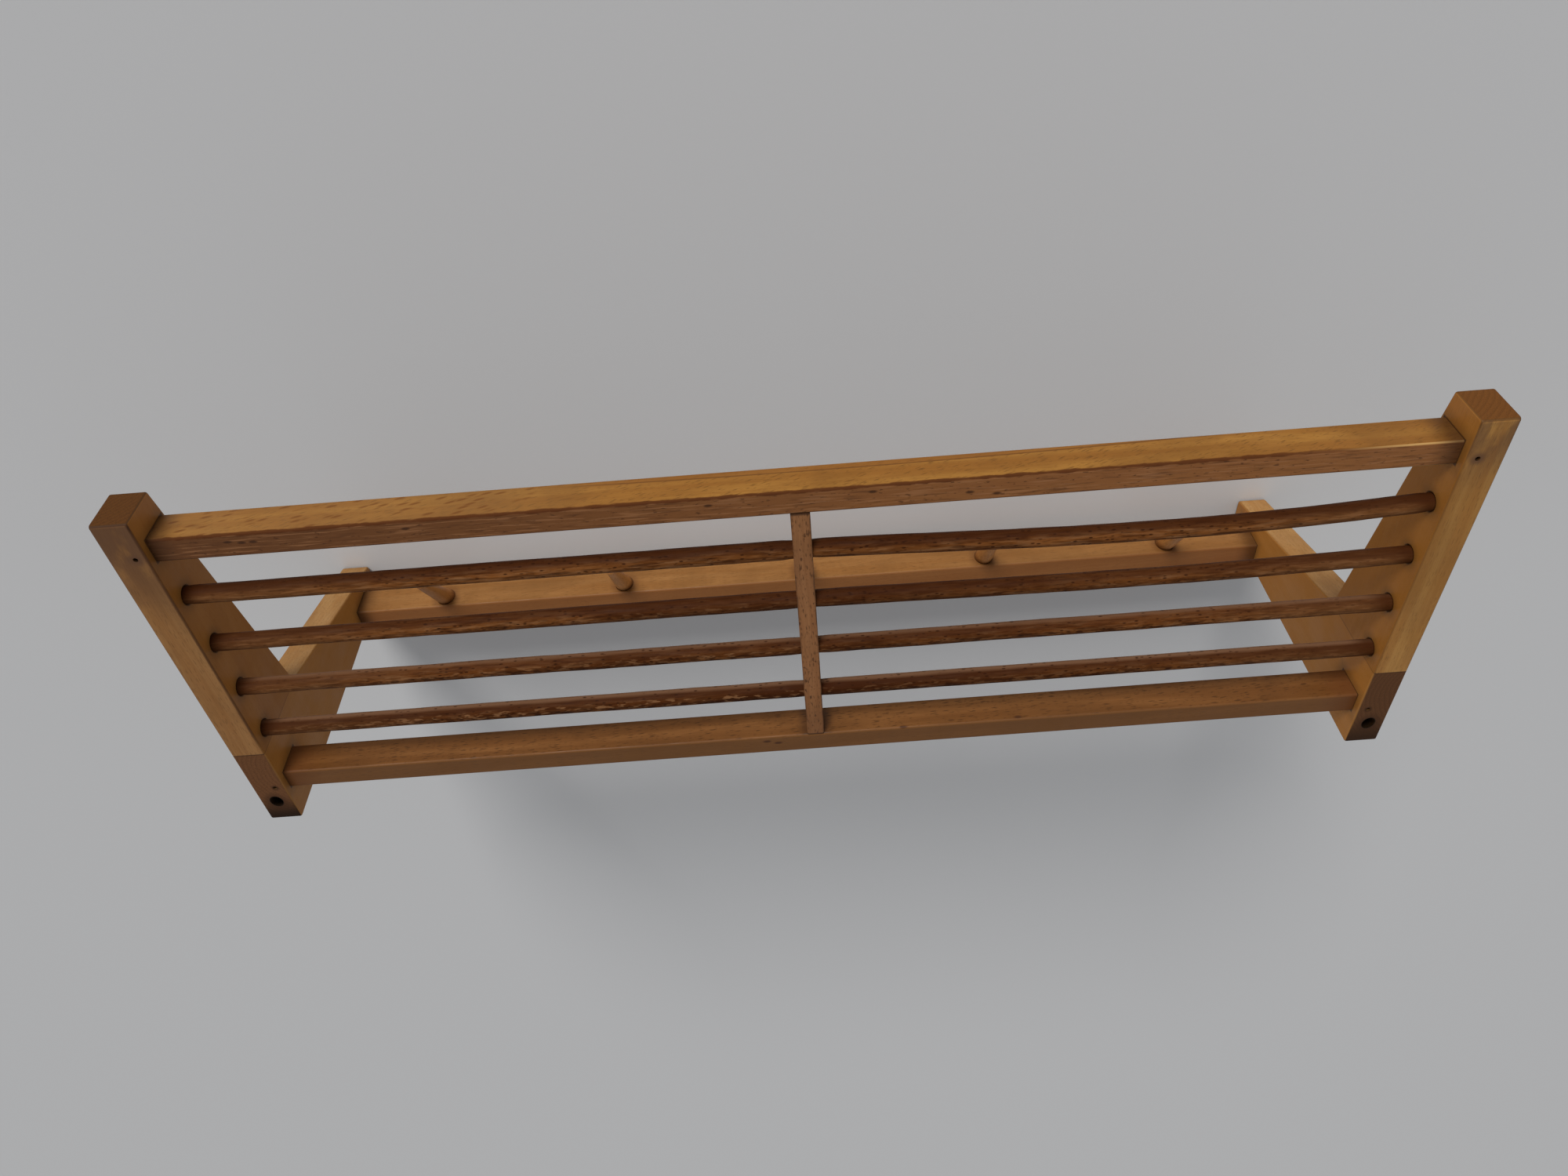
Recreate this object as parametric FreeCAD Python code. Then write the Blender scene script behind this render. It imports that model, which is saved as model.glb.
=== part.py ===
import FreeCAD, Part
import math
import os

# Wall coat rack with a slatted shelf, in beech. Two brackets, each a shelf arm pinned to a wall leg,
# carry two shelf rails, four round dowels, a centre stay and a peg rail with slanted coat pegs.
# Millimetres. X runs along the rack, the room is on the -Y side of the wall and +Z is up.
# The origin is on the wall, behind the middle of the peg rail.

# Brackets. A setback is measured out from the wall, a drop down from the top of the rack
overall_length = 716.0
stock = 20.0
shelf_depth = 247.0
rack_height = 217.5
head_depth = 64.5
root_height = 62.5
tip_height = 27.5
foot_depth = 27.0
tip_radius = 2.0
foot_radius = 3.0
bracket_edge = 1.2

# Shelf rails
rail_width = 15.0
rail_height = 22.0
rail_drop = 6.0
front_rail_inset = 16.0
rear_rail_setback = 24.0
rail_edge = 1.5

# Round shelf dowels. The first stands one pitch behind the middle of the front rail
dowel_count = 4
dowel_diameter = 10.0
dowel_pitch = 37.25
dowel_drop = 13.0
dowel_chamfer = 1.0
socket_depth = 12.0
socket_mouth = 0.7

# Centre stay, bored for the dowels
stay_width = 10.5
stay_height = 18.0
stay_edge = 1.0
stay_tenon_length = 5.0
stay_shoulder = 2.0

# Peg rail, flush with the backs of the legs
peg_rail_thickness = 20.0
peg_rail_height = 32.0
peg_rail_lift = 13.5
peg_rail_shoulder = 4.0

# Coat pegs, spread between the brackets. Their axes leave the rail's face this rise above its middle
peg_count = 5
peg_end_margin = 66.0
peg_rise = 5.7
peg_tilt = 38.0
peg_root = 13.0
peg_tip = 7.0
peg_length = 60.0
peg_dome = 4.0
peg_back_wall = 2.5

# Stub tenons of the three rails
tenon_length = 12.0
rail_shoulder = 2.5

# Round pins inside the joint of arm and leg
pin_diameter = 8.0
pin_length = 36.0
pin_chamfer = 1.0
pin_web = 6.0
pin_edge = 14.0

# Nails that lock the rails' tenons, punched below the surface
nail_shank = 1.6
nail_head = 2.4
nail_head_height = 1.2
nail_length = 20.0
nail_point = 3.0
nail_punch = 2.5

# Slanted wall screw holes, from the top of each leg to the wall
screw_setback = 18.0
screw_slant = 35.0
screw_clearance_diameter = 5.0
screw_sink_diameter = 8.0
screw_sink_depth = 14.0

# Glue gaps: beside a flat tenon, round a turned piece, round a nail, and at the end of a blind hole
flat_gap = 0.1
round_gap = 0.1
nail_gap = 0.1
end_gap = 0.5

# Worked out from the sizes above
peg_rail_middle = rack_height - peg_rail_lift - peg_rail_height / 2
peg_rail_drop = peg_rail_middle - peg_rail_height / 2
inner_half = overall_length / 2 - stock
front_rail_setback = shelf_depth - front_rail_inset - rail_width
front_rail_middle = front_rail_setback + rail_width / 2
rear_rail_middle = rear_rail_setback + rail_width / 2
dowel_setbacks = [front_rail_middle - dowel_pitch * (k + 1) for k in range(dowel_count)]
peg_pitch = 2 * (inner_half - peg_end_margin) / (peg_count - 1)
peg_slope = math.radians(peg_tilt)
peg_room = peg_rail_thickness - peg_back_wall - peg_root / 2 * math.sin(peg_slope)
peg_rooting = peg_room / math.cos(peg_slope)
pin_drops = (dowel_drop + dowel_diameter / 2 + pin_web + pin_diameter / 2, root_height - pin_edge)
SIDES = (("left", -1), ("right", 1))
Vector = FreeCAD.Vector
ALONG = Vector(1, 0, 0)
OUT = Vector(0, -1, 0)
UP = Vector(0, 0, 1)


def point(x, setback, drop):
    return Vector(x, -setback, peg_rail_middle - drop)


def block(x0, x1, setback0, setback1, drop0, drop1):
    corner = point(min(x0, x1), max(setback0, setback1), max(drop0, drop1))
    return Part.makeBox(abs(x1 - x0), abs(setback1 - setback0), abs(drop1 - drop0), corner)


def rod(start, direction, length, diameter, chamfer=0.0):
    """Round bar from start along direction, with both ends chamfered."""
    radius = diameter / 2
    if not chamfer:
        return Part.makeCylinder(radius, length, start, direction)
    outline = [Vector(0, 0, 0), Vector(radius - chamfer, 0, 0), Vector(radius, 0, chamfer),
               Vector(radius, 0, length - chamfer), Vector(radius - chamfer, 0, length),
               Vector(0, 0, length)]
    return turned(Part.Wire(Part.makePolygon(outline + outline[:1])), start, direction)


def turned(wire, start, direction):
    """Solid of revolution: the wire lies in the XZ plane, its Z axis is laid along direction."""
    solid = Part.Face(wire).revolve(Vector(0, 0, 0), UP, 360)
    solid.Placement = FreeCAD.Placement(start, FreeCAD.Rotation(UP, direction))
    return solid


def rounded_wire(corners):
    """Closed outline through (setback, drop, radius) corners, each rounded by a tangent arc."""
    points = [point(0, setback, drop) for setback, drop, radius in corners]
    edges = []
    joints = []
    for k, corner in enumerate(points):
        radius = corners[k][2]
        before = (points[k - 1] - corner).normalize()
        after = (points[(k + 1) % len(points)] - corner).normalize()
        half = before.getAngle(after) / 2
        reach = radius / math.tan(half)
        inward = (before + after).normalize()
        middle = corner + inward * (radius / math.sin(half) - radius)
        joints.append((corner + before * reach, middle, corner + after * reach))
    for k, (start, middle, end) in enumerate(joints):
        if corners[k][2]:
            edges.append(Part.Arc(start, middle, end).toShape())
        edges.append(Part.LineSegment(end, joints[(k + 1) % len(joints)][0]).toShape())
    return Part.Wire(edges)


def board(corners, x_outer, side):
    """Flat piece of the bracket's stock, cut to an outline, with its outer face at x_outer."""
    solid = Part.Face(rounded_wire(corners)).extrude(ALONG * (-side * stock))
    solid.translate(ALONG * x_outer)
    return solid


def ease(solid, radius, wanted):
    return solid.makeFillet(radius, [edge for edge in solid.Edges if wanted(edge)])


def runs_along_board(edge):
    """Edges round the two flat faces of a board, apart from those in the joint of arm and leg."""
    first, last = edge.BoundBox.XMin, edge.BoundBox.XMax
    in_joint = max(abs(vertex.Point.y + head_depth) for vertex in edge.Vertexes) < 1e-6
    return abs(last - first) < 1e-6 and not in_joint


def leg_front(drop):
    """Setback of the wall leg's tapered front edge at a drop below the joint."""
    return head_depth - (drop - root_height) * (head_depth - foot_depth) / (rack_height - root_height)


def tenoned_rail(half_length, setback, drop, width, height, edge, shoulder):
    """Rail along X with eased long edges and a stub tenon at each end."""
    rail = block(-half_length, half_length, setback, setback + width, drop, drop + height)
    rail = ease(rail, edge, lambda e: e.BoundBox.XLength > half_length)
    reach = half_length + tenon_length
    tenon = block(-reach, reach, setback + shoulder, setback + width - shoulder,
                  drop + shoulder, drop + height - shoulder)
    return rail.fuse(tenon).removeSplitter()


def mortise(side, setback, drop, width, height, shoulder):
    """Room for a rail's stub tenon, from the bracket's inner face outwards."""
    inset = shoulder - flat_gap
    return block(side * inner_half, side * (inner_half + tenon_length + end_gap), setback + inset,
                 setback + width - inset, drop + inset, drop + height - inset)


def socket(side, setback):
    """Stopped hole for a shelf dowel, with a small chamfer at its mouth."""
    start = point(side * inner_half, setback, dowel_drop)
    radius = dowel_diameter / 2 + round_gap
    hole = Part.makeCylinder(radius, socket_depth + end_gap, start, ALONG * side)
    return hole.fuse(Part.makeCone(radius + socket_mouth, radius, socket_mouth, start, ALONG * side))


def nail(start, direction):
    """Lost-head nail: head, shank and point, from its head's top along direction."""
    head, shank = nail_head / 2, nail_shank / 2
    outline = [Vector(0, 0, 0), Vector(head, 0, 0), Vector(head, 0, nail_head_height),
               Vector(shank, 0, nail_head_height), Vector(shank, 0, nail_length - nail_point),
               Vector(0, 0, nail_length)]
    return turned(Part.Wire(Part.makePolygon(outline + outline[:1])), start, direction)


def nail_hole(start, direction):
    """Hole for a nail, open above its head as the punch left it."""
    wide, narrow = nail_head / 2 + nail_gap, nail_shank / 2 + nail_gap
    lead = 2 * nail_punch
    sink = Part.makeCylinder(wide, lead + nail_head_height + nail_gap, start - direction * lead, direction)
    return sink.fuse(Part.makeCylinder(narrow, nail_length + nail_gap, start, direction))


def nail_seats(side):
    """Head's top and direction of the nails of the front, rear and peg rail on one side."""
    x = side * (inner_half + tenon_length / 2)
    return {"front_rail": (point(x, front_rail_middle, nail_punch), -UP),
            "rear_rail": (point(x, rear_rail_middle, nail_punch), -UP),
            "peg_rail": (point(x, leg_front(peg_rail_middle) - nail_punch, peg_rail_middle), -OUT)}


def joint_pin(side, drop, gap=0.0, spare=0.0, chamfer=0.0):
    """Round pin across the joint of arm and leg, or the hole for it."""
    length = pin_length + 2 * spare
    start = point(side * (overall_length - stock) / 2, head_depth - length / 2, drop)
    return rod(start, OUT, length, pin_diameter + 2 * gap, chamfer)


def screw_hole(side):
    """Slanted wall screw hole, sunk for the screw's head where it enters the leg's top."""
    slant = math.radians(screw_slant)
    mouth = point(side * (overall_length - stock) / 2, screw_setback, 0)
    down = Vector(0, math.sin(slant), -math.cos(slant))
    lead = screw_sink_diameter
    sink = Part.makeCylinder(screw_sink_diameter / 2, screw_sink_depth + lead, mouth - down * lead, down)
    length = screw_setback / math.sin(slant) + lead
    return sink.fuse(Part.makeCylinder(screw_clearance_diameter / 2, length, mouth, down))


def bracket_cuts(side):
    """Every hole that the other pieces need in one bracket."""
    cuts = [mortise(side, front_rail_setback, rail_drop, rail_width, rail_height, rail_shoulder),
            mortise(side, rear_rail_setback, rail_drop, rail_width, rail_height, rail_shoulder),
            mortise(side, 0, peg_rail_drop, peg_rail_thickness, peg_rail_height, peg_rail_shoulder),
            screw_hole(side)]
    cuts += [socket(side, setback) for setback in dowel_setbacks]
    cuts += [joint_pin(side, drop, round_gap, end_gap) for drop in pin_drops]
    cuts += [nail_hole(start, direction) for start, direction in nail_seats(side).values()]
    return cuts


def shelf_arm(side):
    """Tapered arm under the shelf's end, butted on the wall leg."""
    corners = [(head_depth, 0, 0), (shelf_depth, 0, tip_radius), (shelf_depth, tip_height, tip_radius),
               (head_depth, root_height, 0)]
    arm = board(corners, side * overall_length / 2, side)
    return ease(arm, bracket_edge, runs_along_board).cut(bracket_cuts(side))


def wall_leg(side):
    """Upright on the wall: square head beside the arm, then a taper to the foot."""
    corners = [(0, 0, tip_radius), (head_depth, 0, 0), (head_depth, root_height, 0),
               (foot_depth, rack_height, foot_radius), (0, rack_height, foot_radius)]
    leg = board(corners, side * overall_length / 2, side)
    return ease(leg, bracket_edge, runs_along_board).cut(bracket_cuts(side))


def rail_nail_holes(rail):
    seats = [nail_seats(side)[rail] for name, side in SIDES]
    return [nail_hole(start, direction) for start, direction in seats]


def stay_tenon(gap=0.0, spare=0.0):
    """The stay's stub tenons, run together through its length, or the room for them."""
    half = stay_width / 2 - stay_shoulder + gap
    reach = stay_tenon_length + spare
    return block(-half, half, rear_rail_setback + rail_width - reach, front_rail_setback + reach,
                 rail_drop + stay_shoulder - gap, rail_drop + stay_height - stay_shoulder + gap)


def shelf_rail(setback, name):
    rail = tenoned_rail(inner_half, setback, rail_drop, rail_width, rail_height, rail_edge, rail_shoulder)
    return rail.cut([stay_tenon(flat_gap, end_gap)] + rail_nail_holes(name))


def shelf_dowel(setback):
    reach = inner_half + socket_depth
    return rod(point(-reach, setback, dowel_drop), ALONG, 2 * reach, dowel_diameter, dowel_chamfer)


def centre_stay():
    rear, front = rear_rail_setback + rail_width, front_rail_setback
    stay = block(-stay_width / 2, stay_width / 2, rear, front, rail_drop, rail_drop + stay_height)
    stay = ease(stay, stay_edge, lambda e: e.BoundBox.YLength > (front - rear) / 2)
    bore = dowel_diameter + 2 * round_gap
    holes = [rod(point(-stay_width, setback, dowel_drop), ALONG, 2 * stay_width, bore)
             for setback in dowel_setbacks]
    return stay.fuse(stay_tenon()).removeSplitter().cut(holes)


def peg_seat(number):
    """Where a peg's axis leaves the peg rail's front face, and its direction."""
    x = (number - (peg_count - 1) / 2) * peg_pitch
    direction = Vector(0, -math.cos(peg_slope), math.sin(peg_slope))
    return point(x, peg_rail_thickness, peg_rail_middle - peg_rise), direction


def peg_hole(number):
    start, direction = peg_seat(number)
    depth = peg_rooting + end_gap
    radius = peg_root / 2 + round_gap
    return Part.makeCylinder(radius, depth + peg_root, start - direction * depth, direction)


def coat_peg(number):
    """Turned peg: straight where it is glued in, then tapered to a domed tip."""
    start, direction = peg_seat(number)
    root, tip, rim = peg_root / 2, peg_tip / 2, peg_length - peg_dome
    dome = Part.BezierCurve()
    dome.setPoles([Vector(tip, 0, rim), Vector(tip, 0, rim + peg_dome / 2),
                   Vector(tip / 2, 0, peg_length), Vector(0, 0, peg_length)])
    sides = [Vector(0, 0, peg_length), Vector(0, 0, -peg_rooting), Vector(root, 0, -peg_rooting),
             Vector(root, 0, 0), Vector(tip, 0, rim)]
    edges = [Part.LineSegment(a, b).toShape() for a, b in zip(sides, sides[1:])]
    return turned(Part.Wire(edges + [dome.toShape()]), start, direction)


def peg_rail():
    rail = tenoned_rail(inner_half, 0, peg_rail_drop, peg_rail_thickness, peg_rail_height, rail_edge,
                        peg_rail_shoulder)
    return rail.cut([peg_hole(k) for k in range(peg_count)] + rail_nail_holes("peg_rail"))


pieces = {}
for name, side in SIDES:
    pieces[f"{name}_wall_leg"] = wall_leg(side)
    pieces[f"{name}_shelf_arm"] = shelf_arm(side)
    for place, drop in zip(("upper", "lower"), pin_drops):
        pieces[f"{name}_{place}_joint_pin"] = joint_pin(side, drop, chamfer=pin_chamfer)
pieces["front_rail"] = shelf_rail(front_rail_setback, "front_rail")
pieces["rear_rail"] = shelf_rail(rear_rail_setback, "rear_rail")
for k, setback in enumerate(dowel_setbacks):
    pieces[f"shelf_dowel_{k + 1}"] = shelf_dowel(setback)
pieces["centre_stay"] = centre_stay()
pieces["peg_rail"] = peg_rail()
for k in range(peg_count):
    pieces[f"coat_peg_{k + 1}"] = coat_peg(k)
for rail in ("front_rail", "rear_rail", "peg_rail"):
    pieces[f"{rail}_nails"] = Part.makeCompound([nail(*nail_seats(side)[rail]) for name, side in SIDES])

os.makedirs("parts", exist_ok=True)
for name, shape in pieces.items():
    shape.exportStep(f"parts/{name}.step")
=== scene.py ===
import math

import bmesh
import bpy
from mathutils import Euler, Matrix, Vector, noise


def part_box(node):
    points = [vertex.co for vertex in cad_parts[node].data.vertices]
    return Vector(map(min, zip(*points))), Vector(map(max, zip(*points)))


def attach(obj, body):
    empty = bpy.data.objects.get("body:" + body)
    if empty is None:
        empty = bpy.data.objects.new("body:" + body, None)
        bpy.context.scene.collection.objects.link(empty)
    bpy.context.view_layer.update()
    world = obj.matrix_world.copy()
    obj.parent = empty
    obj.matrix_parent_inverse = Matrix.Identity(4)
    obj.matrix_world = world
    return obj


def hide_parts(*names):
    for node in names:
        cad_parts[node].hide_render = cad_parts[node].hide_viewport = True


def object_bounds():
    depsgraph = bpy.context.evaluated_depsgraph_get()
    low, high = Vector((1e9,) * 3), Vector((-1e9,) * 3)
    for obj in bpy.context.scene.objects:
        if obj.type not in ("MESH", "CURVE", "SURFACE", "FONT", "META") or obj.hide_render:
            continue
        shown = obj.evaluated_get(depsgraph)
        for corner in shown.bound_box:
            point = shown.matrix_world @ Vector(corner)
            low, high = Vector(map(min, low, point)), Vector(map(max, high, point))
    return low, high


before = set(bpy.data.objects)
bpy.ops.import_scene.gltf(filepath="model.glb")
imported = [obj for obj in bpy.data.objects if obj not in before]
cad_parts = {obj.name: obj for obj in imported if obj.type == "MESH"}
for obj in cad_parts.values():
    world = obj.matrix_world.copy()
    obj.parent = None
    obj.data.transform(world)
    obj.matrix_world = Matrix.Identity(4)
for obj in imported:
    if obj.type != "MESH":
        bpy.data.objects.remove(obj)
cad_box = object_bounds()

# Wall legs: tapered uprights of 20 mm beech with the grain upright, planed and varnished a honey
# colour. The square head shows its end grain on top, where the varnish soaked in and went dark.
# Each is glued and pinned to its shelf arm and screwed to the wall through a slanted hole.


class Finish:
    """A finish as it is laid on: its node tree, and its colour so far. Places are in millimetres."""

    def __init__(self, name):
        self.material = bpy.data.materials.new(name)
        self.material.use_nodes = True
        self.tree = self.material.node_tree
        self.shader = self.tree.nodes["Principled BSDF"]
        spot = self.add("ShaderNodeTexCoord")
        self.place = self.add("ShaderNodeMapping", {"Vector": spot["Object"], "Scale": (1000,) * 3})[0]
        self.x, self.y, self.z = self.add("ShaderNodeSeparateXYZ", {0: self.place})
        self.facing = spot["Normal"]
        facing = self.add("ShaderNodeSeparateXYZ", {0: self.facing})
        self.facing_x, self.facing_y, self.facing_z = facing

    def add(self, kind, inputs=(), **settings):
        node = self.tree.nodes.new(kind)
        for key, value in settings.items():
            setattr(node, key, value)
        for socket, value in dict(inputs).items():
            if isinstance(value, bpy.types.NodeSocket):
                self.tree.links.new(value, node.inputs[socket])
            else:
                node.inputs[socket].default_value = value
        return node.outputs

    def work(self, operation, *values):
        return self.add("ShaderNodeMath", enumerate(values), operation=operation)[0]

    def work_in_space(self, operation, *values):
        return self.add("ShaderNodeVectorMath", enumerate(values), operation=operation)

    def size_of(self, value):
        return self.work("ABSOLUTE", value)

    def fade(self, value, start, end, low=0.0, high=1.0):
        """Goes smoothly from low to high while value goes from start to end."""
        limits = {0: value, 1: start, 2: end, 3: low, 4: high}
        return self.add("ShaderNodeMapRange", limits, interpolation_type="SMOOTHSTEP")[0]

    def both(self, *masks):
        result = masks[0]
        for mask in masks[1:]:
            result = self.work("MULTIPLY", result, mask)
        return result

    def stretch(self, place, sizes, slant=0.0):
        """Pattern coordinates in which one unit is that many millimetres."""
        inputs = {"Vector": place, "Scale": sizes, "Rotation": (0, math.radians(slant), 0)}
        return self.add("ShaderNodeMapping", inputs, vector_type="TEXTURE")[0]

    def cloud(self, place, sizes, detail, output="Fac"):
        inputs = {"Vector": self.stretch(place, sizes), "Scale": 1.0, "Detail": detail}
        return self.add("ShaderNodeTexNoise", inputs)[output]

    def spindles(self, place, sizes, share, slant=0.0):
        """Scattered long specks of those sizes; share is how many of the places hold one."""
        stretched = self.stretch(place, sizes, slant)
        cells = self.add("ShaderNodeTexVoronoi", {"Vector": stretched, "Scale": 1.0})
        chance = self.add("ShaderNodeSeparateXYZ", {0: cells["Color"]})[0]
        body = self.fade(cells["Distance"], 0.4, 0.15)
        return self.both(body, self.fade(chance, 1 - share, 1.1 - share))

    def distance(self, point, axis):
        """Distance from the line through point along axis."""
        out = self.work_in_space("SUBTRACT", self.place, point)[0]
        turned = self.work_in_space("CROSS_PRODUCT", out, axis)[0]
        return self.work_in_space("LENGTH", turned)["Value"]

    def knot(self, point, sizes):
        """A spot of those half sizes round a point."""
        out = self.work_in_space("SUBTRACT", self.place, point)[0]
        far = self.work_in_space("LENGTH", self.stretch(out, sizes))["Value"]
        return self.fade(far, 1.0, 0.35)

    def outside(self, node):
        """Distance outside a node's box, seen along the rack."""
        low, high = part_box(node)
        gaps = []
        for k, value in ((1, self.y), (2, self.z)):
            away = self.size_of(self.work("SUBTRACT", value, (low[k] + high[k]) * 500))
            gaps.append(self.work("SUBTRACT", away, (high[k] - low[k]) * 500))
        return self.work("MAXIMUM", *gaps)

    def paint(self, colour):
        self.colour = self.add("ShaderNodeRGB")[0]
        self.colour.default_value = (*colour, 1)

    def stain(self, mask, colour, strength=1.0):
        mask = self.work("MULTIPLY", mask, strength)
        inputs = {0: mask, 6: self.colour, 7: (*colour, 1)}
        self.colour = self.add("ShaderNodeMix", inputs, data_type="RGBA")[2]

    def seal(self, dullness, relief, gloss):
        """Joins colour, dullness and relief, in millimetres, to the shader and sets its gloss."""
        bump = self.add("ShaderNodeBump", {"Height": relief, "Distance": 0.001, "Strength": 0.8})[0]
        self.shader.inputs["Specular IOR Level"].default_value = gloss
        self.tree.links.new(self.colour, self.shader.inputs["Base Color"])
        self.tree.links.new(dullness, self.shader.inputs["Roughness"])
        self.tree.links.new(bump, self.shader.inputs["Normal"])
        return self.material


def darker(colour, share):
    return tuple(channel * share for channel in colour)


def beech(name, piece, turn, pale, deep, end_tone, start, flecks, slant=0.0):
    """Varnished beech. turn lays the piece's grain on the pattern's X axis, start is its place in
    the plank, flecks says how bold its dark flecks are, and slant how far they are tipped."""
    wood = Finish(name)
    low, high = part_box(piece)
    rotation = Euler(turn).to_matrix()
    shift = Vector((start, 0, 0)) - rotation @ (low + high) * 500
    laid = {"Vector": wood.place, "Rotation": turn, "Location": shift}
    straight = wood.add("ShaderNodeMapping", laid)[0]
    wander_reach, ring_width, pith_away = (0, 9, 9), 2.7, (0, 30, 9)
    wander = wood.cloud(straight, (190, 45, 45), 2, "Color")
    plank = wood.work_in_space("MULTIPLY_ADD", wander, wander_reach, straight)[0]
    wood.plank = plank
    from_pith = wood.work_in_space("MULTIPLY_ADD", plank, (0, 1, 1), pith_away)[0]
    years = wood.work("DIVIDE", wood.work_in_space("LENGTH", from_pith)["Value"], ring_width)
    late = wood.fade(wood.work("FRACT", years), 0.3, 1.0)
    fibres = wood.cloud(plank, (16, 0.55, 0.55), 1)
    wood.paint(pale)
    wood.stain(wood.fade(wood.cloud(plank, (230, 7, 7), 3), 0.34, 0.66), deep)
    wood.stain(late, darker(deep, 0.8), 0.25)
    wood.stain(wood.fade(fibres, 0.45, 0.75), darker(deep, 0.7), 0.35)
    bold, fine = 0.6 + 0.8 * flecks, 0.4 + 0.5 * flecks
    specks = wood.spindles(plank, (7.5, bold, bold), 0.6, slant)
    wood.stain(specks, darker(deep, 0.4), flecks)
    dashes = wood.spindles(plank, (3.4, fine, fine), 0.45, slant)
    wood.stain(dashes, darker(deep, 0.45), flecks * 0.8)
    bands = wood.fade(wood.cloud(plank, (90, 22, 22), 3), 0.42, 0.7)
    wood.stain(bands, darker(deep, 0.68), 0.5)
    patches = wood.fade(wood.cloud(wood.place, (30, 30, 30), 4), 0.5, 0.72)
    wood.stain(patches, darker(deep, 0.7), 0.4)
    widest = wood.work("MAXIMUM", wood.size_of(wood.facing_x), wood.size_of(wood.facing_y))
    widest = wood.work("MAXIMUM", widest, wood.size_of(wood.facing_z))
    wood.eased = wood.fade(widest, 0.965, 0.85)
    axis = rotation.inverted() @ Vector((1, 0, 0))
    along = wood.work_in_space("DOT_PRODUCT", wood.facing, axis)["Value"]
    end = wood.fade(wood.size_of(along), 0.5, 0.9)
    wood.stain(end, end_tone)
    wood.stain(wood.both(end, late), darker(end_tone, 0.62), 0.4)
    wood.stain(wood.both(end, wood.fade(fibres, 0.5, 0.7)), darker(end_tone, 0.5), 0.6)
    hands = wood.cloud(wood.place, (21, 21, 21), 3)
    handled = wood.fade(hands, 0.3, 0.7, low=0.36, high=0.54)
    wood.dullness = wood.work("MAXIMUM", handled, wood.fade(end, 0, 1, high=0.85))
    ridges = wood.work("MULTIPLY", fibres, 0.03)
    wood.relief = wood.work("SUBTRACT", ridges, wood.work("MULTIPLY", specks, 0.03))
    return wood


def nail_hole(wood, nails, sign):
    """Distance from the axis of the nail on that side of the rack."""
    low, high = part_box(nails)
    place = (sign * (high.x * 1000 - nail_radius), (low.y + high.y) * 500, 0)
    return wood.distance(place, (0, 0, 1))


SIDES = (("left", -1), ("right", 1))
satin = 0.16
leg_grain = (math.radians(90), 0, math.radians(90))
leg_pale, leg_deep, leg_end = (0.5, 0.27, 0.095), (0.44, 0.21, 0.06), (0.165, 0.068, 0.026)
leg_inner = (0.52, 0.2, 0.03)
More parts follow.
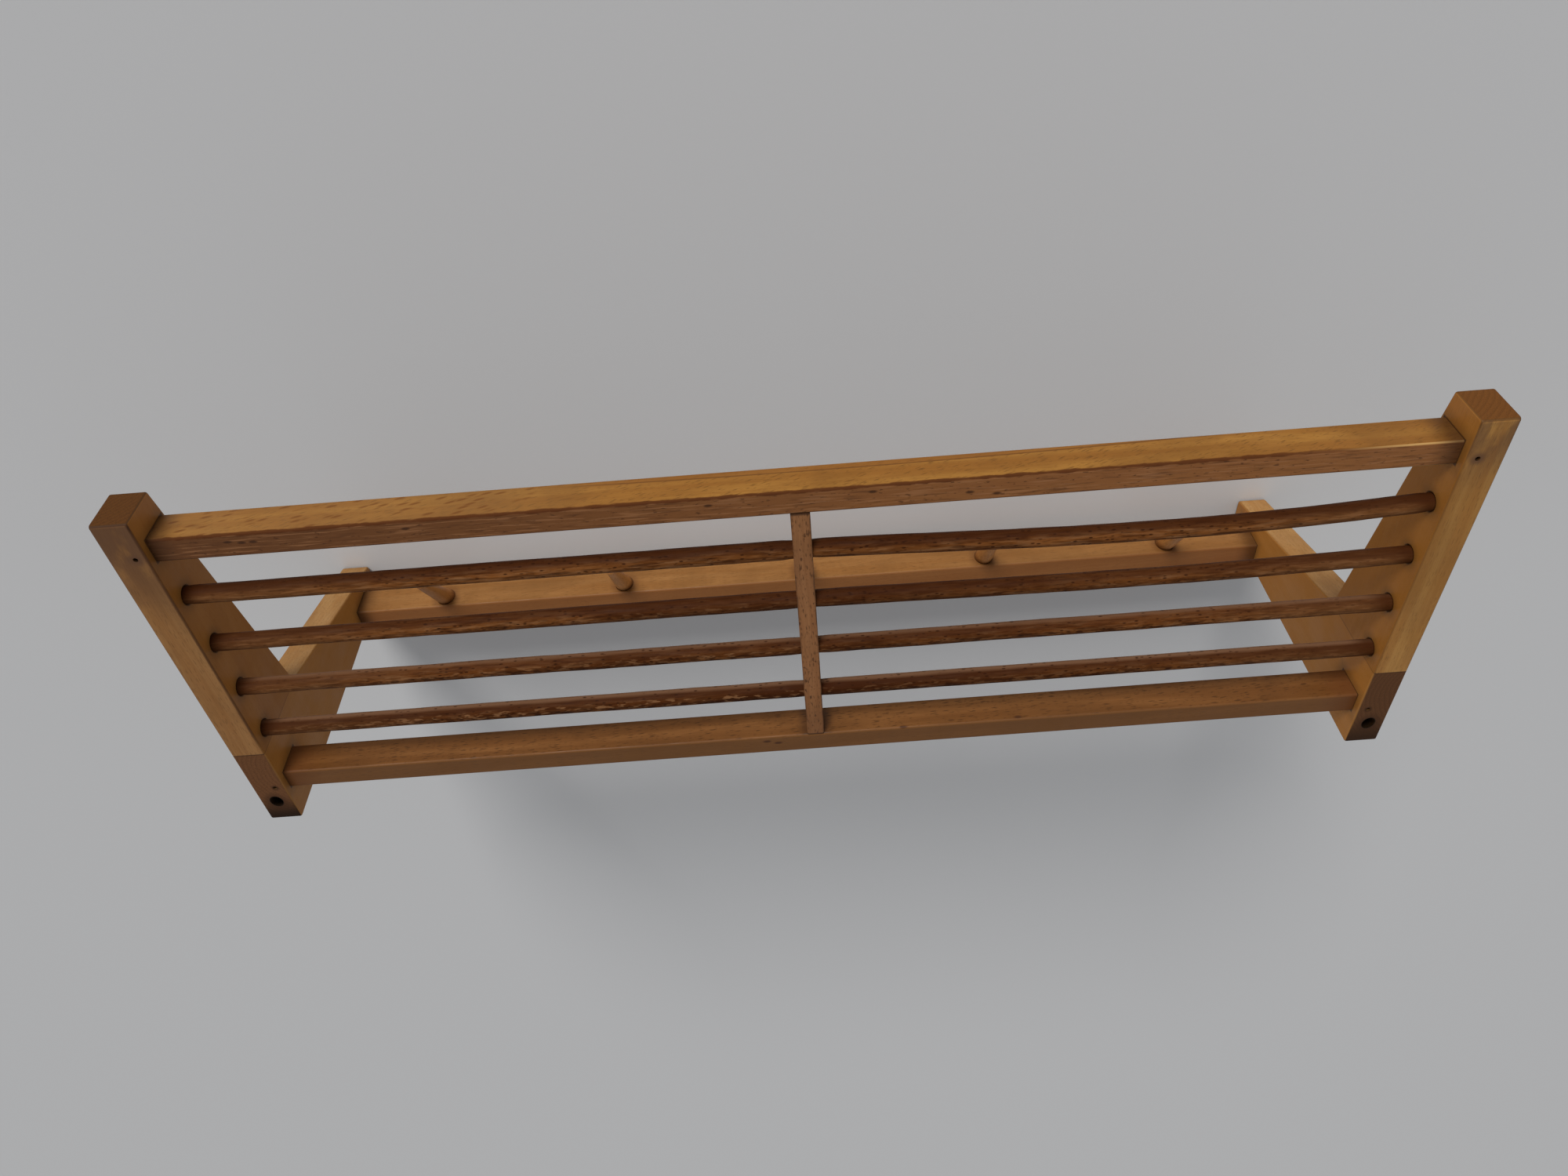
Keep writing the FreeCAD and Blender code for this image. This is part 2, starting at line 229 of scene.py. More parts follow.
# This dark brown is dirt in joints and round holes, and also painted shade at the rails' ends and
# beside the stay.
grime_and_shade, hole_shade = (0.05, 0.02, 0.008), (0.01, 0.006, 0.004)
bare = (0.47, 0.3, 0.15)
screw_lean, screw_mouth_y, mouth_radius = math.radians(35), -18, 4
screw_axis = (0, math.sin(screw_lean), -math.cos(screw_lean))
nail_radius, punched_down = 1.2, 8
for side, sign in SIDES:
    leg = f"{side}_wall_leg"
    low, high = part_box(leg)
    middle, front, top = (low.x + high.x) * 500, low.y * 1000, high.z * 1000
    # The right leg's inner face is painted darker than the left's: partly its board's tone, partly
    # painted shade.
    if side == "right":
        tone, end_tone, inner_tone_and_shade, rear_shade_tone = 0.82, 1.0, 0.76, 0.07
    else:
        tone, end_tone, inner_tone_and_shade, rear_shade_tone = 0.97, 0.72, 1.08, 0.2
    pale, deep = darker(leg_pale, tone), darker(leg_deep, tone)
    wood = beech(f"{side} leg beech", leg, leg_grain, pale, deep, darker(leg_end, end_tone),
                 start=300 * sign, flecks=0.4)
    inner = wood.fade(wood.work("MULTIPLY", wood.facing_x, sign), -0.4, -0.9)
    wood.stain(inner, darker(leg_inner, inner_tone_and_shade), 0.7)
    # The eased edges are painted darker: painted shade on their rounding.
    wood.stain(wood.eased, darker(leg_deep, 0.55), 0.5)
    at_wall = wood.fade(wood.y, -1.5, -0.2)
    wood.stain(at_wall, bare, 0.5)
    joint = wood.fade(wood.size_of(wood.work("SUBTRACT", wood.y, front)), 0.7, 0.1)
    wood.stain(wood.both(joint, wood.fade(inner, 0, 1, low=0.8, high=0.35)), grime_and_shade)
    for rail in ("rear_rail", "peg_rail"):
        # Painted shade on the inner face round each rail, then a thin dark joint line at its edge.
        around = wood.outside(rail)
        wood.stain(wood.both(inner, wood.fade(around, 9.0, 0.5)), darker(leg_deep, 0.45), 0.45)
        wood.stain(wood.both(inner, wood.fade(around, 1.3, 0.2)), grime_and_shade, 0.85)
    on_top = wood.fade(wood.facing_z, 0.5, 0.8)
    # The rear of the head's top is painted near black: dirt, and painted shade at the corner.
    wood.stain(wood.both(on_top, wood.fade(wood.y, -26, -2)), darker(leg_end, rear_shade_tone), 0.93)
    hole = wood.distance((middle, screw_mouth_y, top), screw_axis)
    wood.stain(wood.both(on_top, wood.fade(hole, mouth_radius + 5, mouth_radius + 0.5)), grime_and_shade, 0.55)
    # Painted shade inside the screw hole.
    wood.stain(wood.fade(hole, mouth_radius + 0.6, mouth_radius - 0.1), hole_shade)
    nail = nail_hole(wood, "rear_rail_nails", sign)
    wood.stain(wood.both(on_top, wood.fade(nail, 3.4, nail_radius)), grime_and_shade, 0.8)
    # Painted shade in the open nail hole above the punched nail.
    over_nail = wood.fade(wood.z, top - punched_down, top - punched_down + 1)
    wood.stain(wood.both(over_nail, wood.fade(nail, 1.5, nail_radius)), hole_shade)
    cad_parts[leg].material_slots[0].material = wood.seal(wood.dullness, wood.relief, satin)

# Shelf arms: tapered beech boards with the grain from front to back, so that the tip shows end grain.
# Each is butted on its leg's head, glued, and bored and mortised on its inner face for the shelf.


def dowel_axis(number):
    """A point on the axis of a shelf dowel."""
    low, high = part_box(f"shelf_dowel_{number}")
    return (0, (low.y + high.y) * 500, (low.z + high.z) * 500)


arm_grain = (0, 0, math.radians(-90))
arm_pale, arm_deep, arm_end = (0.45, 0.229, 0.062), (0.375, 0.168, 0.038), (0.15, 0.054, 0.01)
browner_pale, browner_deep = (0.365, 0.182, 0.062), (0.305, 0.136, 0.04)
arm_inner, edge_brown = (0.46, 0.17, 0.024), (0.09, 0.035, 0.014)
smudge = (0.12, 0.056, 0.028)
dowel_radius = 5
for side, sign in SIDES:
    arm = f"{side}_shelf_arm"
    low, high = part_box(arm)
    tip, top = low.y * 1000, high.z * 1000
    # The right arm's inner face is painted darker than the left's: partly its board's tone, partly
    # painted shade.
    if side == "right":
        pale, deep, end_tone, inner_tone_and_shade = browner_pale, browner_deep, 0.7, 0.78
        dirt, dirt_start, edge_dirt, tip_grime = 0.85, -165, 0.75, 0.75
    else:
        pale, deep, end_tone, inner_tone_and_shade = arm_pale, arm_deep, 1.08, 1.05
        dirt, dirt_start, edge_dirt, tip_grime = 0.7, -195, 0.2, 0.4
    wood = beech(f"{side} arm beech", arm, arm_grain, pale, deep, darker(arm_end, end_tone),
                 start=500 * sign, flecks=0.45)
    inner = wood.fade(wood.work("MULTIPLY", wood.facing_x, sign), -0.4, -0.9)
    wood.stain(inner, darker(arm_inner, inner_tone_and_shade), 0.65)
    # The eased edges are painted darker: painted shade on their rounding.
    wood.stain(wood.eased, darker(arm_deep, 0.5), 0.5)
    joint = wood.fade(wood.work("SUBTRACT", high.y * 1000, wood.y), 0.7, 0.1)
    wood.stain(wood.both(joint, wood.fade(inner, 0, 1, low=0.8, high=0.35)), grime_and_shade)
    for number in range(1, 5):
        bore = wood.distance(dowel_axis(number), (1, 0, 0))
        # Painted shade on the inner face round each bore, then a thin dark ring of dirt at its edge.
        shaded = wood.fade(bore, dowel_radius + 7, dowel_radius + 0.5)
        wood.stain(wood.both(inner, shaded), darker(arm_deep, 0.5), 0.5)
        dirty = wood.fade(bore, dowel_radius + 1.6, dowel_radius + 0.3)
        wood.stain(wood.both(inner, dirty), grime_and_shade, 0.9)
    # Painted shade on the inner face round the front rail, then a thin dark joint line at its edge.
    around = wood.outside("front_rail")
    wood.stain(wood.both(inner, wood.fade(around, 9.0, 0.5)), darker(arm_deep, 0.5), 0.45)
    wood.stain(wood.both(inner, wood.fade(around, 1.3, 0.2)), grime_and_shade, 0.9)
    on_top = wood.fade(wood.facing_z, 0.5, 0.8)
    near_tip = wood.fade(wood.y, dirt_start, tip + 7)
    patches = wood.fade(wood.cloud(wood.place, (9, 26, 9), 4), 0.26, 0.54)
    wood.stain(wood.both(on_top, near_tip, patches), smudge, dirt)
    inner_x = sign * min(abs(low.x), abs(high.x)) * 1000
    inner_edge = wood.distance((inner_x, 0, top), (0, 1, 0))
    wood.stain(wood.both(patches, wood.fade(inner_edge, 1.6, 0.5)), edge_brown, edge_dirt)
    wood.stain(wood.both(wood.eased, wood.fade(wood.y, tip + 9, tip + 2)), grime_and_shade, tip_grime)
    nail = nail_hole(wood, "front_rail_nails", sign)
    wood.stain(wood.both(on_top, wood.fade(nail, 5.5, 1.5)), smudge, 0.8)
    # Painted shade in the open nail hole above the punched nail.
    over_nail = wood.fade(wood.z, top - punched_down, top - punched_down + 1)
    wood.stain(wood.both(over_nail, wood.fade(nail, 1.5, nail_radius)), hole_shade)
    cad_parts[arm].material_slots[0].material = wood.seal(wood.dullness, wood.relief, satin)

# Joint pins: short round beech pins inside the glued joint of arm and leg, bare wood.
# They show only if the joint is taken apart.
pin_pale, pin_deep, pin_end = (0.66, 0.5, 0.32), (0.56, 0.39, 0.23), (0.5, 0.33, 0.19)
wood = beech("bare pin beech", "left_upper_joint_pin", arm_grain, pin_pale, pin_deep, pin_end,
             start=40, flecks=0.3)
bare_pin = wood.seal(wood.work("ADD", wood.dullness, 0.25), wood.relief, satin)
for side, _ in SIDES:
    for level in ("upper", "lower"):
        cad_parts[f"{side}_{level}_joint_pin"].material_slots[0].material = bare_pin

# Shelf rails: beech, 15 by 22 mm, planed, edges eased, stub-tenoned into the brackets, glued and
# nailed. The front one is golden on its face and dark on top, with a dirty worn line along the edge
# between them, a painted highlight on that edge at one end, bold flecks at one end and small dark
# marks on top. The rear one is browner, with a painted highlight on its eased edges. Both are
# painted darker at their ends as shade by the brackets.


def shade_by_brackets(wood, start, end):
    """Painted shade mask: goes from 0 to 1 between those distances from the brackets' inner faces."""
    inner_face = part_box("right_shelf_arm")[0].x * 1000
    return wood.fade(wood.size_of(wood.x), inner_face - start, inner_face - end)


rail_grain = (math.radians(180), 0, math.radians(2))
rail_end = (0.18, 0.075, 0.026)
golden_pale, golden_deep = (0.375, 0.172, 0.033), (0.29, 0.117, 0.02)
top_brown, top_dark, top_streak = (0.27, 0.105, 0.037), (0.125, 0.047, 0.016), (0.1, 0.037, 0.013)
top_pale, scratched, mark_brown = (0.36, 0.165, 0.07), (0.06, 0.022, 0.008), (0.05, 0.018, 0.007)
ring_brown, ring_dark = (0.24, 0.088, 0.017), (0.12, 0.042, 0.009)
duller_gold, fleck_brown = (0.3, 0.165, 0.065), (0.17, 0.058, 0.011)
worn_brown, highlight_gold = (0.085, 0.024, 0.006), (0.6, 0.36, 0.13)
wood = beech("front rail beech", "front_rail", rail_grain, golden_pale, golden_deep, rail_end,
             start=120, flecks=0.6, slant=22)
on_top = wood.fade(wood.facing_z, 0.55, 0.9)
wood.stain(on_top, top_brown, 0.8)
wood.stain(wood.both(on_top, wood.fade(wood.x, -200, 330)), top_dark, 0.85)
streaks = wood.fade(wood.cloud(wood.place, (16, 1.5, 1.5), 5), 0.5, 0.7)
wood.stain(wood.both(on_top, streaks), top_streak, 0.6)
pale_streaks = wood.fade(wood.cloud(wood.place, (24, 1.3, 1.3), 4), 0.49, 0.36)
wood.stain(wood.both(on_top, pale_streaks), top_pale, 0.5)
scratches = wood.fade(wood.cloud(wood.place, (4.5, 1.4, 1.4), 4), 0.6, 0.68)
wood.stain(wood.both(on_top, scratches), scratched, 0.7)
# The eased edges are painted darker: painted shade on their rounding.
wood.stain(wood.eased, darker(rail_end, 0.8), 0.5)
low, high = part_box("front_rail")
front, top = low.y * 1000, high.z * 1000
on_face = wood.fade(wood.facing_y, -0.5, -0.9)
ring_rise, ring_middle, ring_reach = 5.3, -10, 96
bow = wood.work("DIVIDE", wood.work("SUBTRACT", wood.x, ring_middle), ring_reach)
over_ring = wood.work("SUBTRACT", wood.z, low.z * 1000 + ring_rise)
over_ring = wood.work("ADD", over_ring, wood.work("MULTIPLY", bow, bow))
figured = wood.both(on_face, wood.fade(wood.x, 150, 90))
wood.stain(wood.both(figured, wood.fade(over_ring, 0.3, -0.3)), ring_brown, 0.5)
ring_line = wood.fade(wood.size_of(over_ring), 0.75, 0.25)
wood.stain(wood.both(figured, ring_line), ring_dark, 0.65)
duller_end = wood.both(on_face, wood.fade(wood.x, 70, 170))
wood.stain(duller_end, duller_gold, 0.22)
bold_flecks = wood.spindles(wood.plank, (11, 2.9, 2.9), 0.95, 16)
wood.stain(wood.both(duller_end, bold_flecks), fleck_brown, 0.8)
marks = ((297, 5), (290, 6), (284, 6), (204, 5), (47, 5), (-38, 4), (-88, 9), (-102, 11))
for along, back in marks:
    mark = wood.knot((along, front + back, top), (3.2, 1.3, 1.3))
    wood.stain(mark, mark_brown, 0.85)
edge = wood.distance((0, front, top), (1, 0, 0))
rough = wood.fade(wood.cloud(wood.place, (9, 3, 3), 4), 0.3, 0.7, low=-0.4, high=0.4)
worn_line = wood.fade(wood.work("ADD", edge, rough), 1.8, 0.9)
worn_line = wood.both(worn_line, wood.fade(wood.x, -318, -230))
wood.stain(worn_line, worn_brown, 0.9)
# A painted highlight on the eased edge at the rail's left end.
edge_highlight = wood.fade(wood.x, -270, -320)
wood.stain(wood.both(wood.eased, edge_highlight), highlight_gold, 0.75)
# Painted shade at the ends, by the brackets.
wood.stain(shade_by_brackets(wood, 17, 2), grime_and_shade, 0.75)
dull = wood.work("MAXIMUM", wood.dullness, wood.fade(worn_line, 0, 1, high=0.9))
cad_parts["front_rail"].material_slots[0].material = wood.seal(dull, wood.relief, gloss=0.13)

brown_pale, brown_deep = (0.22, 0.089, 0.024), (0.165, 0.062, 0.0145)
brown_top, brown_edge_highlight, brown_ends_shade = (0.165, 0.071, 0.0225), (0.21, 0.09, 0.028), (0.13, 0.045, 0.013)
knot_brown = (0.06, 0.02, 0.007)
wood = beech("rear rail beech", "rear_rail", rail_grain, brown_pale, brown_deep, rail_end,
             start=640, flecks=0.8, slant=5)
wood.stain(wood.fade(wood.facing_z, 0.55, 0.9), brown_top, 0.7)
# A painted highlight along the eased edges.
wood.stain(wood.eased, brown_edge_highlight, 0.2)
# Painted shade at the ends, by the brackets.
wood.stain(shade_by_brackets(wood, 28, 1), brown_ends_shade, 0.75)
# Painted shade beside the stay on the front face, with dirt in the joint.
on_face = wood.fade(wood.facing_y, -0.5, -0.9)
wood.stain(wood.both(on_face, wood.fade(wood.size_of(wood.x), 13, 5.5)), grime_and_shade, 0.6)
low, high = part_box("rear_rail")
front, top = low.y * 1000, high.z * 1000
knots = ((-55, front, top - 0.6), (-127, front, top - 2), (31, front + 4, top), (24, front + 6, top))
for knot_at in knots:
    wood.stain(wood.knot(knot_at, (3.6, 1.6, 1.6)), knot_brown, 0.85)
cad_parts["rear_rail"].material_slots[0].material = wood.seal(wood.dullness, wood.relief, satin)

# Shelf dowels: four 10 mm beech rods glued into stopped holes in the arms, worn uneven by hands and
# hangers. The two nearest the room have warped up and back, left of the stay. All are stained dark
# and streaky; the rear two are rubbed pale towards the room and flaked on top. Their ends by the
# arms are painted darker as shade.


def worn_dowel(number, warp, swell):
    """A dowel as it is now: bent by warp metres, thicker by the share swell, and worn."""
    low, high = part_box(f"shelf_dowel_{number}")
    radius, chamfer, half = (high.z - low.z) / 2, 0.001, (high.x - low.x) / 2
    middle = (low + high) / 2
    bm = bmesh.new()
    profile = [(-half, 0), (-half, radius - chamfer), (chamfer - half, radius),
               (half - chamfer, radius), (half, radius - chamfer), (half, 0)]
    points = [bm.verts.new((x, 0, z)) for x, z in profile]
    edges = [bm.edges.new(pair) for pair in zip(points, points[1:])]
    bmesh.ops.subdivide_edges(bm, edges=[edges[2]], cuts=220)
    bmesh.ops.spin(bm, geom=bm.verts[:] + bm.edges[:], cent=(0, 0, 0), axis=(1, 0, 0),
                   angle=math.tau, steps=28, use_merge=True)
    bmesh.ops.remove_doubles(bm, verts=bm.verts, dist=1e-6)
    bmesh.ops.recalc_face_normals(bm, faces=bm.faces)
    arm_face, stay_face, ramp = 0.338, 0.0053, 0.006
    wear_depth, warp_way = 0.045, Vector((0, 0.74, 0.67))
    for vert in bm.verts:
        off_middle = abs(vert.co.x)
        off_arm = min(max((arm_face - off_middle) / ramp, 0), 1)
        off_stay = min(max((off_middle - stay_face) / ramp, 0), 1)
        spot = Vector((vert.co.x * 22, vert.co.y * 120, vert.co.z * 120 + number * 7))
        wear = min(max(noise.fractal(spot, 0.8, 2.0, 4), -0.5), 0.8)
        vert.co.yz = vert.co.yz * (1 + off_arm * off_stay * (swell - wear_depth * wear))
        run = min(max((vert.co.x + stay_face) / (stay_face - arm_face), 0), 1)
        vert.co += warp_way * warp * math.sin(math.pi * run ** 1.2)
    bmesh.ops.translate(bm, verts=bm.verts, vec=middle)
    for face in bm.faces:
        face.smooth = True
    mesh = bpy.data.meshes.new(f"worn_shelf_dowel_{number}")
    bm.to_mesh(mesh)
    bm.free()
    dowel = bpy.data.objects.new(mesh.name, mesh)
    bpy.context.scene.collection.objects.link(dowel)
    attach(dowel, "root")
    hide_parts(f"shelf_dowel_{number}")
    return dowel


dowel_pale, dowel_deep, dowel_dark = (0.29, 0.106, 0.026), (0.19, 0.06, 0.013), (0.046, 0.012, 0.0025)
light_streak, light_mottle = (0.37, 0.185, 0.08), (0.36, 0.17, 0.07)
end_brown, flaked_wood, rubbed_wood = (0.12, 0.053, 0.021), (0.34, 0.17, 0.075), (0.24, 0.125, 0.068)
dowel_pit, dowel_dirt = darker(dowel_dark, 0.6), darker(dowel_dark, 0.7)
# One value for each dowel, from the room to the wall.
dowel_warp, dowel_swell = (0.0043, 0.0018, 0, 0), (0.08, 0.03, 0.035, 0.035)
dark_in_front, dark_reach = (0.9, 0.78, 0.62, 0.85), (1.1, 1.1, 1.5, 2.0)
dark_on_top, dark_at_middle = (0.0, 0.45, 0.8, 0.9), (0.3, 0.85, 0.75, 0.95)
flaked_on_top, rubbed_in_front = (0.1, 0.15, 0.3, 0.5), (0, 0, 0.45, 0.6)
for row in range(4):
    number = row + 1
    wood = beech(f"dowel {number} beech", f"shelf_dowel_{number}", (0, 0, 0), dowel_pale, dowel_deep,
                 darker(dowel_deep, 0.6), start=210 * number, flecks=0.6)
    moved_on = {"Vector": wood.place, "Location": (170 * number, 0, 0)}
    shifted = wood.add("ShaderNodeMapping", moved_on)[0]
    away = wood.size_of(wood.x)
    calm_ends = wood.fade(away, 325, 200, low=0.35)
    light_streaks = wood.fade(wood.cloud(shifted, (19, 2.1, 2.1), 4), 0.52, 0.64)
    wood.stain(wood.both(light_streaks, calm_ends), light_streak, 0.5)
    streaks = wood.fade(wood.cloud(shifted, (25, 2.5, 2.5), 5), 0.5, 0.62)
    wood.stain(wood.both(streaks, calm_ends), dowel_dark, 0.65)
    wood.stain(wood.fade(away, 190, 310), end_brown, 0.6)
    mottles = wood.cloud(shifted, (12, 1.3, 1.3), 4)
    wood.stain(wood.fade(mottles, 0.5, 0.34), light_mottle, 0.3)
    patchy = wood.fade(wood.cloud(shifted, (70, 8, 8), 4), 0.25, 0.6, low=0.45)
    wood.stain(wood.both(patchy, wood.fade(away, 310, 20)), dowel_dark, dark_at_middle[row])
    turned_back = wood.work("ADD", wood.facing_y, wood.facing_z)
    wood.stain(wood.fade(turned_back, dark_reach[row], -0.5), dowel_dark, dark_in_front[row])
    grit = wood.fade(wood.cloud(shifted, (6, 2.2, 2.2), 4), 0.44, 0.58)
    upward = wood.fade(turned_back, 0.3, 1.1)
    wood.stain(wood.both(upward, grit, calm_ends), dowel_dirt, dark_on_top[row])
    wood.stain(wood.both(wood.fade(mottles, 0.5, 0.66), calm_ends), dowel_dirt, 0.45)
    flakes = wood.fade(wood.cloud(shifted, (7, 1.7, 1.7), 5), 0.53, 0.63)
    flaked = wood.both(wood.fade(turned_back, -0.2, 0.5), wood.fade(wood.x, -60, 60, low=0.3))
    wood.stain(wood.both(flakes, flaked, calm_ends), flaked_wood, flaked_on_top[row])
    wood.stain(wood.fade(turned_back, -0.5, -1.15), rubbed_wood, rubbed_in_front[row])
    pits = wood.spindles(shifted, (4.0, 1.6, 1.6), 0.45)
    wood.stain(wood.both(pits, calm_ends), dowel_pit, 0.85)
    # Painted shade at the ends, where they go into the arms.
    wood.stain(shade_by_brackets(wood, 16, 2), dowel_dark, 0.75)
    relief = wood.work("SUBTRACT", wood.relief, wood.work("MULTIPLY", pits, 0.08))
    relief = wood.work("SUBTRACT", relief, wood.work("MULTIPLY", streaks, 0.05))
    dull = wood.work("ADD", wood.dullness, 0.15)
    dowel = worn_dowel(number, dowel_warp[row], dowel_swell[row])
    dowel.data.materials.append(wood.seal(dull, relief, gloss=0.05))

# Centre stay: a slim beech strip bored for the four dowels, threaded on them before the shelf was
# glued up, and stub-tenoned into both rails. Its top is bruised and flecked.
stay_pale, stay_deep, bruised = (0.335, 0.149, 0.058), (0.26, 0.106, 0.037), (0.07, 0.026, 0.009)
wood = beech("stay beech", "centre_stay", arm_grain, stay_pale, stay_deep, darker(stay_deep, 0.5),
             start=75, flecks=0.8, slant=9)
bruises = wood.fade(wood.cloud(wood.place, (2.6, 6, 2.6), 4), 0.6, 0.68)
wood.stain(bruises, bruised, 0.75)
ragged = wood.fade(wood.cloud(wood.place, (6, 14, 6), 3), 0.42, 0.58)
wood.stain(wood.both(wood.fade(wood.size_of(wood.x), 4.0, 5.2), ragged), grime_and_shade, 0.6)
for number in range(1, 5):
    bore = wood.distance(dowel_axis(number), (1, 0, 0))
    wood.stain(wood.fade(bore, dowel_radius + 1.3, dowel_radius + 0.2), grime_and_shade, 0.8)
for rail in ("front_rail", "rear_rail"):
    wood.stain(wood.fade(wood.outside(rail), 1.6, 0.2), grime_and_shade, 0.85)
relief = wood.work("SUBTRACT", wood.relief, wood.work("MULTIPLY", bruises, 0.1))
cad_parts["centre_stay"].material_slots[0].material = wood.seal(wood.dullness, relief, satin)

# Peg rail: a beech rail between the legs, flush with their backs, bored at a slant for the pegs.
# Its face has kept its clean honey varnish. Its ends are painted with shade, and round the pegs lie
# dirt and painted shade.
honey_pale, honey_deep, honey_top = (0.35, 0.163, 0.05), (0.295, 0.126, 0.033), (0.27, 0.095, 0.027)
wood = beech("peg rail beech", "peg_rail", rail_grain, honey_pale, honey_deep, rail_end,
             start=910, flecks=0.45, slant=6)
wood.stain(wood.fade(wood.facing_z, 0.55, 0.9), honey_top, 0.6)
# The eased edges are painted darker: painted shade on their rounding.
wood.stain(wood.eased, darker(rail_end, 1.2), 0.4)
wood.stain(wood.fade(wood.y, -1.5, -0.2), bare, 0.5)
# Painted shade at the ends, by the legs.
wood.stain(shade_by_brackets(wood, 16, 1), grime_and_shade, 0.7)
peg_lean, peg_root_y, peg_root_z = math.radians(38), -20, 5.7
peg_axis = (0, -math.cos(peg_lean), math.sin(peg_lean))
peg_radius, dirt_and_shade_round_peg = 6.5, (0.15, 0.058, 0.018)
in_front = wood.fade(wood.y, -8, -12)
for number in range(1, 6):
    low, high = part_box(f"coat_peg_{number}")
    root = wood.distance(((low.x + high.x) * 500, peg_root_y, peg_root_z), peg_axis)
    # Round each peg's root: a broad darkening, partly dirt and partly painted shade, then a thin dark
    # joint line.
    shaded = wood.fade(root, peg_radius + 6.5, peg_radius)
    wood.stain(wood.both(in_front, shaded), dirt_and_shade_round_peg, 0.5)
    dirty = wood.fade(root, peg_radius + 0.7, peg_radius - 0.2)
    wood.stain(wood.both(in_front, dirty), grime_and_shade, 0.6)
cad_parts["peg_rail"].material_slots[0].material = wood.seal(wood.dullness, wood.relief, satin)

# Coat pegs: turned beech, tapering to a small dome, varnished with the rest.
# Each is glued into a slanted hole in the peg rail; its root is painted dark, partly with dirt and
# partly as painted shade.
peg_grain = (peg_lean, 0, math.radians(90))
peg_pale, peg_deep, peg_end = (0.58, 0.245, 0.066), (0.46, 0.172, 0.036), (0.3, 0.13, 0.045)
dirt_and_shade_ring = (0.12, 0.04, 0.011)
for number in range(1, 6):
    peg = f"coat_peg_{number}"
    wood = beech(f"peg {number} beech", peg, peg_grain, peg_pale, peg_deep, peg_end,
                 start=330 * number, flecks=0.45)
    # The root is painted dark: partly dirt, partly painted shade where it meets the rail.
    wood.stain(wood.fade(wood.y, peg_root_y - 9, peg_root_y - 0.5), dirt_and_shade_ring, 0.75)
    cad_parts[peg].material_slots[0].material = wood.seal(wood.dullness, wood.relief, gloss=0.18)

# Nails: thin lost-head nails through the rails' tenons, of plain steel gone dull and rusty.
# They are punched below the surface, and their holes were left open.
steel_grey, rust_brown = (0.09, 0.078, 0.068), (0.05, 0.02, 0.009)
steel = Finish("nail steel")
steel.paint(steel_grey)
rust = steel.fade(steel.cloud(steel.place, (1.2, 1.2, 1.2), 4), 0.42, 0.6)
steel.stain(rust, rust_brown, 0.8)
steel.shader.inputs["Metallic"].default_value = 0.4
dull = steel.fade(rust, 0, 1, low=0.42, high=0.8)
relief = steel.work("MULTIPLY", rust, 0.05)
nail_steel = steel.seal(dull, relief, gloss=0.3)
for rail in ("front_rail", "rear_rail", "peg_rail"):
    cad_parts[f"{rail}_nails"].material_slots[0].material = nail_steel

# Floor: plain pale paper laid flat at the feet of the legs, clear when seen from underneath.
# It is a stage for the picture and no part of the rack.
paper_reach, paper_gap = 12.0, 0.0005
bm = bmesh.new()
bmesh.ops.create_grid(bm, x_segments=1, y_segments=1, size=paper_reach)
bmesh.ops.translate(bm, verts=bm.verts, vec=(0, 0, cad_box[0].z - paper_gap))
mesh = bpy.data.meshes.new("floor")
bm.to_mesh(mesh)
bm.free()
floor = bpy.data.objects.new("floor", mesh)
bpy.context.scene.collection.objects.link(floor)
paper = Finish("pale paper")
paper.shader.inputs["Base Color"].default_value = (0.68, 0.685, 0.695, 1)
paper.shader.inputs["Roughness"].default_value = 0.9
paper.shader.inputs["Specular IOR Level"].default_value = 0.0
from_below = paper.add("ShaderNodeNewGeometry")["Backfacing"]
clear = paper.add("ShaderNodeBsdfTransparent")[0]
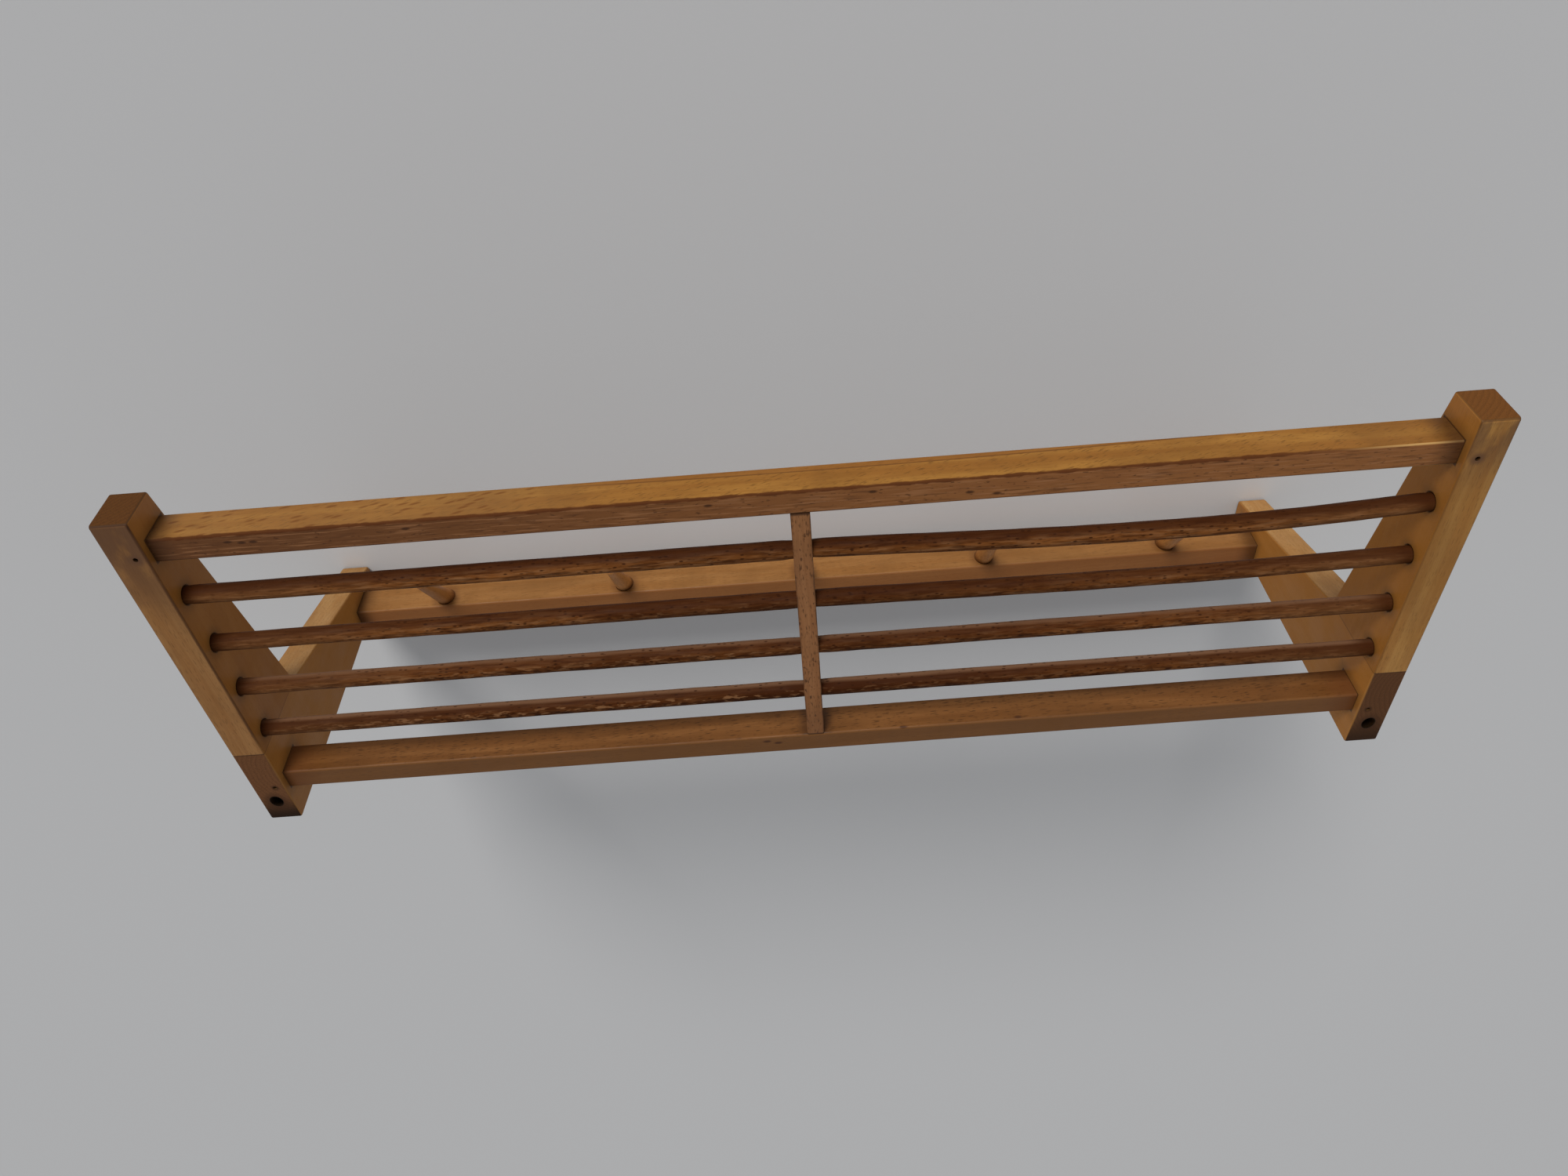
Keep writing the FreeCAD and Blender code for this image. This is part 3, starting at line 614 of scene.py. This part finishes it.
sides = {0: from_below, 1: paper.shader.outputs[0], 2: clear}
sheet = paper.add("ShaderNodeMixShader", sides)[0]
paper.tree.links.new(sheet, paper.tree.nodes["Material Output"].inputs["Surface"])
floor.data.materials.append(paper.material)

# Light: a wide soft window light from in front, a little above the shelf and to the rack's right,
# in an even pale room that looks as bright as the floor.
window = bpy.data.lights.new("window light", "SUN")
window.energy, window.angle, window.color = 2.2, math.radians(22), (1.0, 0.98, 0.95)
window_light = bpy.data.objects.new("window light", window)
window_light.rotation_euler = Vector((-0.2, 1.0, -0.43)).to_track_quat("-Z", "Y").to_euler()
bpy.context.scene.collection.objects.link(window_light)
room = bpy.data.worlds.new("pale room")
room.use_nodes = True
walls = room.node_tree.nodes["Background"]
walls.inputs["Color"].default_value = (0.96, 0.975, 1.0, 1)
room_light, room_look = 0.34, 0.4
ray = room.node_tree.nodes.new("ShaderNodeLightPath")
seen = room.node_tree.nodes.new("ShaderNodeMapRange")
seen.inputs["To Min"].default_value = room_light
seen.inputs["To Max"].default_value = room_look
shown = ray.outputs["Is Camera Ray"]
for kind in ("Is Glossy Ray", "Is Transmission Ray"):
    total = room.node_tree.nodes.new("ShaderNodeMath")
    room.node_tree.links.new(shown, total.inputs[0])
    room.node_tree.links.new(ray.outputs[kind], total.inputs[1])
    shown = total.outputs[0]
room.node_tree.links.new(shown, seen.inputs["Value"])
room.node_tree.links.new(seen.outputs["Result"], walls.inputs["Strength"])
bpy.context.scene.world = room
bpy.context.scene.view_settings.view_transform = "Standard"

# Camera: at the photograph's place, above and in front of the shelf, turned over as the photograph is.
# Its lens is the photograph's, a wide one close to the rack.
camera = bpy.data.objects.new("camera", bpy.data.cameras.new("camera"))
camera.location = (0.00162, -0.57862, 0.63336)
camera.rotation_euler = [math.radians(angle) for angle in (-42.475, -2.1761, 176.217)]
camera.data.sensor_width, camera.data.lens = 36.0, 25.513
camera.data.clip_start = 0.01
bpy.context.scene.collection.objects.link(camera)
bpy.context.scene.camera = camera

bpy.context.view_layer.update()
